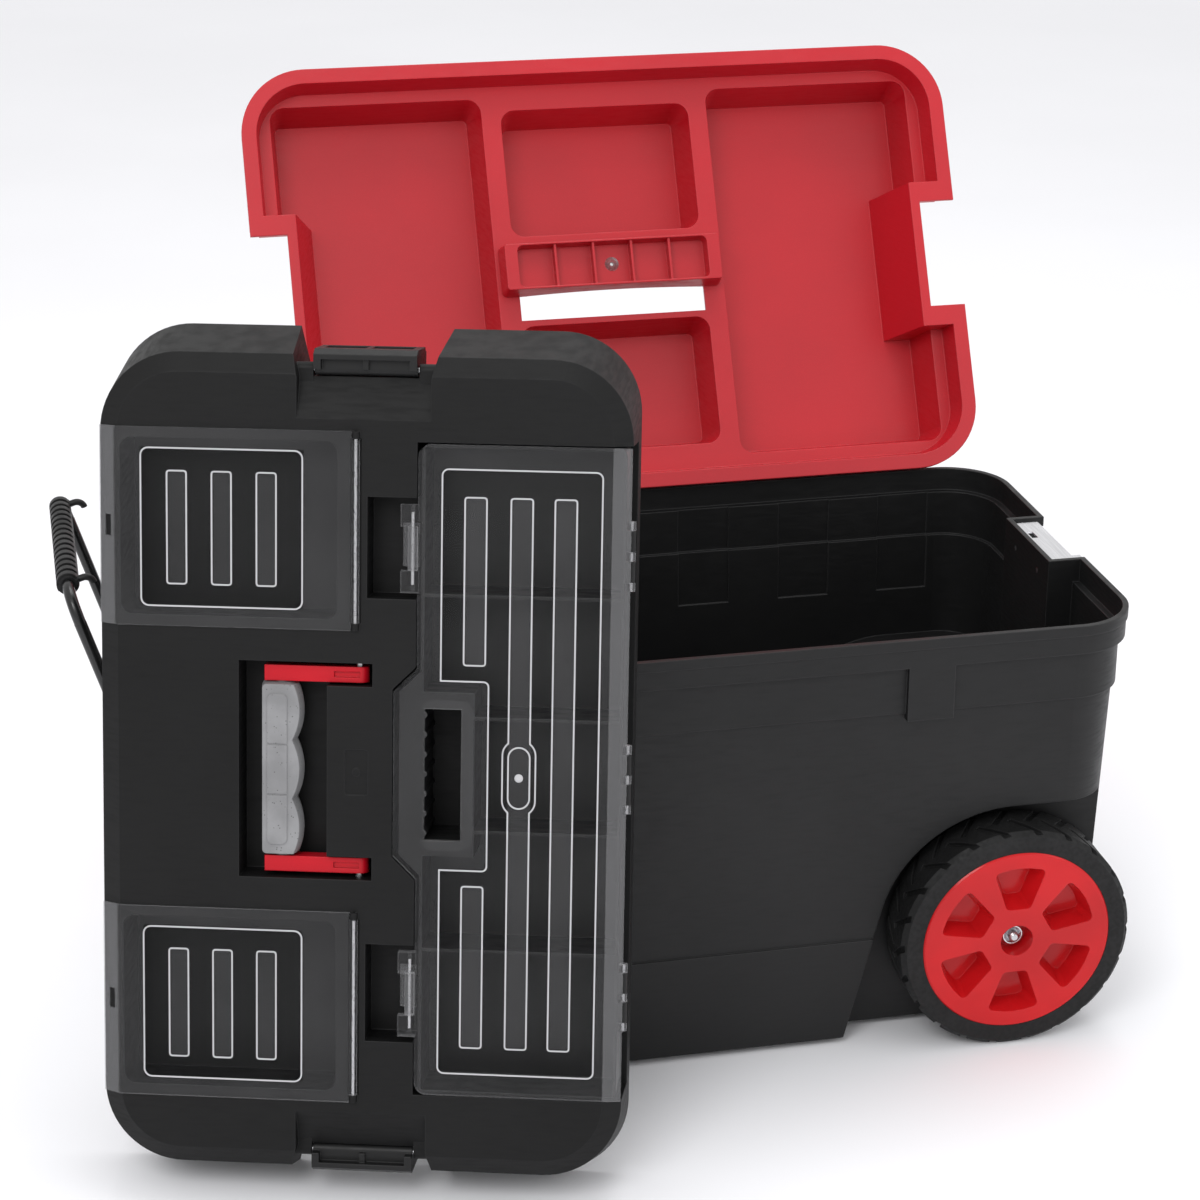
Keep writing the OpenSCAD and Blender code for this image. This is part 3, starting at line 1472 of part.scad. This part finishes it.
// Clear snap latch that hooks under the catch on the case
module case_latch() {
    plate_t = 3.4;
    tab = [6, 3, 2];
    face_u = snap_u - snap_r;
    hook_w = catch_w - seat_gap;
    hook_u = org_u - catch_out - seat_gap;
    color(clear) difference() {
        rotate([90, 0, 0]) linear_extrude(latch_w, center = true) {
            translate([snap_u, snap_w]) circle(snap_r);
            polygon([
                [face_u, snap_w], [face_u, hook_w], [face_u - tab[0], hook_w - tab[1]],
                [face_u - tab[0], hook_w - tab[1] - tab[2]], [hook_u, hook_w - tab[1]], [hook_u, hook_w],
                [face_u + plate_t, hook_w], [face_u + plate_t, snap_w]
            ]);
        }
        snap_axis(latch_w + 2 * eps, pin_d + 2 * guide_fit);
    }
}

module case_latch_upper() on_lid() translate([0, latch_pitch, 0]) case_latch();
module case_latch_lower() on_lid() translate([0, -latch_pitch, 0]) case_latch();

tub();
axle();
axle_washers();
axle_caps();
keepers();
keeper_screws();
handle_guides();
hub_front();
tyre_front();
hub_rear();
tyre_rear();
handle_tube();
handle_sleeve();
handle_stops();
tray();
tray_bar();
bar_rivet();
lid();
lid_liner();
carry_pins();
cover_pins();
latch_pins();
carry_arms();
carry_grip();
upper_cover();
lower_cover();
upper_latch();
lower_latch();
organizer();
organizer_pins();
organizer_cover();
case_latch_pins();
case_latch_upper();
case_latch_lower();
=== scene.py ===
"""Looks of the rolling toolbox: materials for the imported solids, a studio stage and the camera."""

import json
import math

import bpy
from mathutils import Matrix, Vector

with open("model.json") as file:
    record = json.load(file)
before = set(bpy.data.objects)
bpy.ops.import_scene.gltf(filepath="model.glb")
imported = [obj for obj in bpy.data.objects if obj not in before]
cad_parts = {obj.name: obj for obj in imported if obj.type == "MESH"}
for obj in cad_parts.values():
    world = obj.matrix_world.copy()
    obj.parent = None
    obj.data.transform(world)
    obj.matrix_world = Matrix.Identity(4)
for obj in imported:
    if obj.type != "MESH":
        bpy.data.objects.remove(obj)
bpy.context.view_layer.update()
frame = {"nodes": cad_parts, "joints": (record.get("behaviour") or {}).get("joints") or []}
nodes = frame["nodes"]
joints = {joint["name"]: joint for joint in frame["joints"]}

MM = 0.001

# The lid's own axes: across it, along it, and out of its face
LID_U = Vector(joints["upper_latch_hinge"]["axis"])
LID_V = Vector(joints["upper_cover_hinge"]["axis"])
LID_N = Vector(joints["organizer_lift"]["axis"])

# Marks on the clear covers, in millimetres from a cover's hinge along the lid's axes. V counts both
# ways from the middle of a cover, so a range that starts below zero takes in the middle.
MARK_SOFT = 0.3

SQUARE_HINGE = Vector(joints["upper_cover_hinge"]["pos_m"])
SQUARE_HALF_PITCH = (SQUARE_HINGE - Vector(joints["lower_cover_hinge"]["pos_m"])).length / 2 / MM
SQUARE_LINES_N = (2.05, 2.35)
SQUARE_KNUCKLES_U = (-4, -6)
SQUARE_LIP_U = (-166, -168)
SQUARE_FIELD_U = (-148.5, -35.7)
SQUARE_FIELD_V = (-1, 55)
SQUARE_SLOTS_V = (-1, 39)
SQUARE_SLOT_PITCH = 31
SQUARE_SLOT_HALF = 7

CASE_HINGE = Vector(joints["organizer_cover_hinge"]["pos_m"])
CASE_LINES_N = (7.9, 8.1)
CASE_BAND_N = (7.5, 7.7)
CASE_HINGE_STRIP_U = (-13.5, -12.5)
CASE_FIELD_U = (-129, -20)
CASE_FIELD_V = (-1, 212)
CASE_GRIP_U = (-140, -97)
CASE_GRIP_V = (-1, 66)
CASE_LONG_SLOTS_U = [(-52, -36), (-82, -66)]
CASE_LONG_SLOTS_V = (-1, 193)
CASE_SHORT_SLOT_U = (-114, -98)
CASE_SHORT_SLOT_V = (77, 193)

# Middle part of a noise that is spread out to its full range
MOTTLE = (0.3, 0.7)

RED = (0.47, 0.004, 0.013)
HUB_RED = (0.52, 0.009, 0.012)


class Tree:
    """Builds the node tree of one material."""

    def __init__(self, name):
        self.material = bpy.data.materials.new(name)
        self.material.use_nodes = True
        self.nodes = self.material.node_tree.nodes
        self.links = self.material.node_tree.links
        self.shader = next(n for n in self.nodes if n.type == "BSDF_PRINCIPLED")
        place = self.add("TexCoord")
        self.coords = place.outputs["Object"]
        self.facing = place.outputs["Normal"]

    def add(self, kind, settings=None, **sockets):
        """A new node; sockets are named with _ for a space and set to a value or linked."""
        node = self.nodes.new("ShaderNode" + kind)
        for key, value in (settings or {}).items():
            setattr(node, key, value)
        for key, value in sockets.items():
            self.set(node, key.replace("_", " "), value)
        return node

    def set(self, node, key, value):
        if isinstance(value, bpy.types.NodeSocket):
            self.links.new(value, node.inputs[key])
        else:
            node.inputs[key].default_value = value

    def math(self, operation, a, b=0.0, clamp=False):
        node = self.add("Math", {"operation": operation, "use_clamp": clamp})
        self.set(node, 0, a)
        self.set(node, 1, b)
        return node.outputs[0]

    def times(self, a, b):
        return self.math("MULTIPLY", a, b)

    def either(self, a, b):
        """The larger of two masks."""
        return self.math("MAXIMUM", a, b)

    def size_of(self, value):
        return self.math("ABSOLUTE", value)

    def vector(self, operation, a, b):
        node = self.add("VectorMath", {"operation": operation})
        self.set(node, 0, a)
        self.set(node, 1, b)
        return node

    def dot(self, a, b):
        return self.vector("DOT_PRODUCT", a, b).outputs["Value"]

    def mix(self, factor, a, b):
        """A colour between a and b."""
        node = self.add("Mix", {"data_type": "RGBA"})
        self.set(node, 0, factor)
        self.set(node, 6, a)
        self.set(node, 7, b)
        return node.outputs[2]

    def ramp(self, value, low, high, out_low=0.0, out_high=1.0):
        node = self.add("MapRange", {"interpolation_type": "SMOOTHSTEP"}, Value=value,
                        From_Min=low, From_Max=high, To_Min=out_low, To_Max=out_high)
        return node.outputs[0]

    def noise(self, scale, detail, stretch=None):
        """Noise with a scale per metre."""
        vector = self.coords
        if stretch:
            vector = self.add("Mapping", Vector=self.coords, Scale=stretch).outputs[0]
        return self.add("TexNoise", Vector=vector, Scale=scale, Detail=detail).outputs["Fac"]

    def mottle(self, scale, detail, low=0.0, high=1.0):
        """Noise from low to high."""
        return self.ramp(self.noise(scale, detail), *MOTTLE, low, high)

    def along(self, axis, origin):
        """Distance of the surface point from origin along an axis of the part, in millimetres."""
        offset = self.vector("SUBTRACT", self.coords, origin).outputs[0]
        return self.dot(offset, [c / MM for c in axis])

    def sideways(self, axis):
        """How far the surface faces across an axis of the part and not along it."""
        return self.ramp(self.size_of(self.dot(self.facing, axis)), 0.75, 0.25)

    def rounded(self, radius):
        """Normal that rounds edges over a radius in millimetres, and how near an edge is."""
        normal = self.add("Bevel", {"samples": 4}, Radius=radius * MM).outputs[0]
        true_normal = self.add("NewGeometry").outputs["True Normal"]
        return normal, self.ramp(self.dot(normal, true_normal), 0.995, 0.80)

    def edged(self, at_edge, share, colour, edge_colour):
        """A colour with a share of another one at the edges."""
        return self.mix(self.times(at_edge, share), colour, edge_colour)

    def band(self, value, low, high):
        """One between low and high, and nothing outside them."""
        rise = self.ramp(value, low - MARK_SOFT, low + MARK_SOFT)
        fall = self.ramp(value, high + MARK_SOFT, high - MARK_SOFT)
        return self.times(rise, fall)

    def box(self, u, v, across, along):
        """One inside a rectangle on the lid's face."""
        return self.times(self.band(u, *across), self.band(v, *along))

    def outside(self, mask):
        return self.math("SUBTRACT", 1.0, mask)

    def bump(self, height, depth, normal=None):
        """Normal of a relief with a depth in millimetres."""
        node = self.add("Bump", Height=height, Distance=depth * MM)
        if normal is not None:
            self.set(node, "Normal", normal)
        return node.outputs[0]

    def finish(self, **sockets):
        for key, value in sockets.items():
            self.set(self.shader, key.replace("_", " "), value)
        return self.material


def grey(value):
    return (value, value, value * 1.03, 1)


def tinted(colour, factor):
    return tuple(c * factor for c in colour[:3]) + (1,)


def moulded_plastic(name, colour, rough, grain=0.05, edge_highlight=1.6, shine=0.28, cloud=0.14):
    """Moulded plastic: fine grain, uneven tone, a painted highlight along the rounded edges and
    faint scuffs.
    """
    t = Tree(name)
    normal, at_edge = t.rounded(1.3)
    tone = t.mix(t.mottle(9, 4), tinted(colour, 1 - cloud), tinted(colour, 1 + cloud))
    specks = t.ramp(t.noise(2600, 1), 0.62, 0.80)
    speckled = t.mix(specks, tone, tinted(colour, 1.5))
    # Painted highlight: the colour is lightened towards the rounded edges.
    with_highlights = t.edged(at_edge, 0.6, speckled, tinted(colour, edge_highlight))
    scuff = t.ramp(t.noise(60, 6, stretch=(1, 1, 7)), 0.35, 0.75, rough - 0.06, rough + 0.08)
    grained = t.bump(t.noise(1700, 3), grain, normal)
    return t.finish(Base_Color=with_highlights, Roughness=scuff, Normal=grained, Specular_IOR_Level=shine)


def glossy_plastic(name, colour, rough):
    """Smooth moulded plastic with a faint flow pattern and a painted highlight along the rounded
    edges.
    """
    t = Tree(name)
    normal, at_edge = t.rounded(1.2)
    tone = t.mix(t.mottle(14, 3), tinted(colour, 0.88), tinted(colour, 1.1))
    # Painted highlight: the colour is lightened towards the rounded edges.
    with_highlights = t.edged(at_edge, 0.5, tone, tinted(colour, 1.35))
    rough_map = t.mottle(120, 4, rough - 0.05, rough + 0.06)
    waved = t.bump(t.noise(45, 2), 0.12, normal)
    return t.finish(Base_Color=with_highlights, Roughness=rough_map, Normal=waved, Specular_IOR_Level=0.3)


def tyre_rubber(name):
    """Dull rubber, a little dusty, lighter towards the rounded edges."""
    t = Tree(name)
    normal, at_edge = t.rounded(1.0)
    dusty = t.mix(t.ramp(t.noise(25, 5), 0.4, 0.8), grey(0.007), grey(0.012))
    edge_lightened = t.edged(at_edge, 0.5, dusty, grey(0.03))
    rough_map = t.mottle(300, 3, 0.55, 0.75)
    pebbled = t.bump(t.noise(1200, 3), 0.06, normal)
    return t.finish(Base_Color=edge_lightened, Roughness=rough_map, Normal=pebbled, Specular_IOR_Level=0.3)


def speckled_rubber(name):
    """Soft grip rubber with dark flecks and a painted highlight along the rounded edges."""
    t = Tree(name)
    normal, at_edge = t.rounded(1.5)
    cells = t.add("TexVoronoi", Vector=t.coords, Scale=420).outputs["Distance"]
    flecks = t.times(t.ramp(cells, 0.22, 0.12), t.ramp(t.noise(160, 2), 0.5, 0.56))
    tone = t.mix(t.mottle(40, 4), grey(0.20), grey(0.27))
    flecked = t.mix(flecks, tone, grey(0.05))
    # Painted highlight: the colour is lightened towards the rounded edges.
    with_highlights = t.edged(at_edge, 0.4, flecked, grey(0.36))
    rough_map = t.mottle(90, 3, 0.5, 0.65)
    pebbled = t.bump(t.noise(1500, 2), 0.05, normal)
    return t.finish(Base_Color=with_highlights, Roughness=rough_map, Normal=pebbled)


def gloss_paint(name, value):
    """Glossy paint with a faint orange peel."""
    t = Tree(name)
    tone = t.mix(t.mottle(30, 3), grey(value * 0.8), grey(value * 1.3))
    peel = t.bump(t.noise(700, 2), 0.02)
    rough_map = t.mottle(80, 4, 0.16, 0.28)
    return t.finish(Base_Color=tone, Roughness=rough_map, Normal=peel)


def brushed_steel(name, value, rough):
    """Steel with fine lines along one direction."""
    t = Tree(name)
    normal, _ = t.rounded(0.4)
    lines = t.noise(700, 4, stretch=(1, 0.03, 0.2))
    tone = t.mix(t.ramp(lines, *MOTTLE), grey(value * 0.85), grey(value))
    rough_map = t.ramp(lines, *MOTTLE, rough - 0.06, rough + 0.06)
    lined = t.bump(lines, 0.01, normal)
    return t.finish(Base_Color=tone, Roughness=rough_map, Metallic=1.0, Normal=lined)


def clear_plastic(name, zones=None, side_highlight=0.45):
    """Smoky clear plastic.

    The zones function gives masks for raised lines, frosted faces and the lightest faces. The raised
    lines and the faces turned sideways to the lid get a painted highlight.
    """
    t = Tree(name)
    raised, frosted, pale = zones(t) if zones else (0.0, 1.0, 0.8)
    # Painted highlight: raised lines and faces turned sideways to the lid are painted light grey and
    # made more opaque.
    painted_highlight = t.either(raised, t.times(t.sideways(LID_N), side_highlight))
    tone = t.mix(t.mottle(12, 3), grey(0.17), grey(0.23))
    with_highlights = t.mix(painted_highlight, t.mix(pale, tone, grey(0.32)), grey(0.62))
    veil = t.math("ADD", t.times(frosted, 0.085), t.times(pale, 0.17))
    alpha = t.either(t.math("ADD", veil, 0.015), t.times(painted_highlight, 0.8))
    rough_map = t.math("ADD", t.mottle(70, 4, 0.10, 0.16), t.times(frosted, 0.22))
    return t.finish(Base_Color=with_highlights, Roughness=rough_map, Alpha=alpha, Specular_IOR_Level=0.15)


def square_zones(t):
    """Lines, frosted border and slots of the square covers, the lower one folded on the upper."""
    u = t.along(LID_U, SQUARE_HINGE)
    from_between = t.size_of(t.math("ADD", t.along(LID_V, SQUARE_HINGE), SQUARE_HALF_PITCH))
    v = t.size_of(t.math("SUBTRACT", from_between, SQUARE_HALF_PITCH))
    top = t.ramp(t.along(LID_N, SQUARE_HINGE), *SQUARE_LINES_N)
    raised = t.times(top, t.ramp(u, *SQUARE_KNUCKLES_U))
    field = t.box(u, v, SQUARE_FIELD_U, SQUARE_FIELD_V)
    across = 0.0
    for side in (-1, 0, 1):
        middle = sum(SQUARE_FIELD_U) / 2 + side * SQUARE_SLOT_PITCH
        across = t.either(across, t.band(u, middle - SQUARE_SLOT_HALF, middle + SQUARE_SLOT_HALF))
    slots = t.times(t.band(v, *SQUARE_SLOTS_V), across)
    frosted = t.either(t.times(t.outside(field), 0.75), t.times(slots, 0.7))
    lip = t.times(t.ramp(u, *SQUARE_LIP_U), 0.8)
    return raised, frosted, lip


def case_zones(t):
    """Lines, frosted border and slots of the organizer's cover."""
    u = t.along(LID_U, CASE_HINGE)
    v = t.size_of(t.along(LID_V, CASE_HINGE))
    height = t.along(LID_N, CASE_HINGE)
    raised = t.ramp(height, *CASE_LINES_N)
    grip = t.box(u, v, CASE_GRIP_U, CASE_GRIP_V)
    field = t.math("SUBTRACT", t.box(u, v, CASE_FIELD_U, CASE_FIELD_V), grip, clamp=True)
    slots = t.box(u, v, CASE_SHORT_SLOT_U, CASE_SHORT_SLOT_V)
    for slot in CASE_LONG_SLOTS_U:
        slots = t.either(slots, t.box(u, v, slot, CASE_LONG_SLOTS_V))
    frosted = t.either(t.times(t.outside(field), 0.6), t.times(slots, 0.8))
    strip = t.ramp(u, *CASE_HINGE_STRIP_U, 0.0, 0.8)
    pale = t.either(t.times(t.ramp(height, *CASE_BAND_N), 0.3), strip)
    return raised, frosted, pale


# Looks of the pieces
tub_black = moulded_plastic("tub_black", grey(0.0098), 0.48, edge_highlight=6.0)
lid_black = moulded_plastic("lid_black", grey(0.0052), 0.54, grain=0.08, edge_highlight=7.0, shine=0.22)
case_black = moulded_plastic("case_black", grey(0.0085), 0.44, edge_highlight=4.0)
fitting_black = moulded_plastic("fitting_black", grey(0.008), 0.42)
tray_red = moulded_plastic("tray_red", RED, 0.42, grain=0.02, edge_highlight=1.25, shine=0.55,
                           cloud=0.05)
arm_red = moulded_plastic("arm_red", tinted(RED, 1.05), 0.34, grain=0.02, edge_highlight=1.2,
                          cloud=0.05)
hub_red = glossy_plastic("hub_red", HUB_RED, 0.16)
steel = brushed_steel("steel", 0.62, 0.30)
bright_steel = brushed_steel("bright_steel", 0.82, 0.22)

LOOKS = {
    tub_black: ["tub"],
    lid_black: ["lid", "lid_liner"],
    case_black: ["organizer", "upper_latch", "lower_latch"],
    fitting_black: ["handle_guides", "handle_stops"],
    tray_red: ["tray", "tray_bar"],
    arm_red: ["carry_arms"],
    hub_red: ["hub_front", "hub_rear"],
    tyre_rubber("tyre_black"): ["tyre_front", "tyre_rear"],
    speckled_rubber("grip_grey"): ["carry_grip"],
    moulded_plastic("sleeve_black", grey(0.009), 0.5): ["handle_sleeve"],
    gloss_paint("handle_black", 0.008): ["handle_tube"],
    steel: ["axle", "axle_washers", "keeper_screws", "carry_pins", "cover_pins", "latch_pins",
            "organizer_pins", "case_latch_pins"],
    bright_steel: ["keepers", "axle_caps"],
    clear_plastic("square_cover_clear", square_zones): ["upper_cover", "lower_cover"],
    clear_plastic("case_cover_clear", case_zones): ["organizer_cover"],
    clear_plastic("small_clear", side_highlight=0.8): ["case_latch_upper", "case_latch_lower", "bar_rivet"],
}
for look, names in LOOKS.items():
    for name in names:
        slots = nodes[name].data.materials
        slots.clear()
        slots.append(look)


# Stage
FLOOR_SIZE = 30
WORLD_WHITE = (1, 1, 1, 1)
WORLD_STRENGTH = 0.88


def floor_look():
    t = Tree("floor_pale")
    tone = t.mix(t.mottle(1.5, 3), grey(0.93), grey(0.95))
    return t.finish(Base_Color=tone, Roughness=0.8, Specular_IOR_Level=0.2)


bpy.ops.mesh.primitive_plane_add(size=FLOOR_SIZE)
floor = bpy.context.object
floor.name = "floor"
floor.data.materials.append(floor_look())

world = bpy.data.worlds.new("studio")
world.use_nodes = True
background = world.node_tree.nodes["Background"]
background.inputs["Color"].default_value = WORLD_WHITE
background.inputs["Strength"].default_value = WORLD_STRENGTH
bpy.context.scene.world = world
bpy.context.scene.view_settings.view_transform = "Standard"


def softbox(name, place, aim, size, power):
    """A round area light; sizes are in metres and the power in watts."""
    light = bpy.data.lights.new(name, "AREA")
    light.shape = "DISK"
    light.size = size
    light.energy = power
    lamp = bpy.data.objects.new(name, light)
    lamp.location = place
    lamp.rotation_euler = (Vector(aim) - Vector(place)).to_track_quat("-Z", "Y").to_euler()
    bpy.context.collection.objects.link(lamp)


softbox("key", place=(-1.3, -2.0, 2.3), aim=(0, 0, 0.3), size=1.4, power=26)
softbox("fill", place=(2.0, -1.6, 1.4), aim=(0, 0, 0.2), size=1.8, power=8)
softbox("top", place=(0.2, 0.4, 2.6), aim=(0, 0, 0.3), size=1.6, power=20)

# Camera, as fitted to the photograph's perspective
AZIMUTH = math.radians(-11.9)
ELEVATION = math.radians(22.08)
DISTANCE = 2.2295
TARGET = Vector((-0.0816, 0, 0.3227))
FOCAL_PX = 2848.8
FRAME_PX = 1200
SENSOR_MM = 36
back = Vector((math.sin(AZIMUTH) * math.cos(ELEVATION),
               -math.cos(AZIMUTH) * math.cos(ELEVATION),
               math.sin(ELEVATION)))
camera = bpy.data.objects.new("camera", bpy.data.cameras.new("camera"))
camera.data.sensor_width = SENSOR_MM
camera.data.lens = SENSOR_MM * FOCAL_PX / FRAME_PX
camera.location = TARGET + back * DISTANCE
camera.rotation_euler = (-back).to_track_quat("-Z", "Y").to_euler()
bpy.context.collection.objects.link(camera)
bpy.context.scene.camera = camera
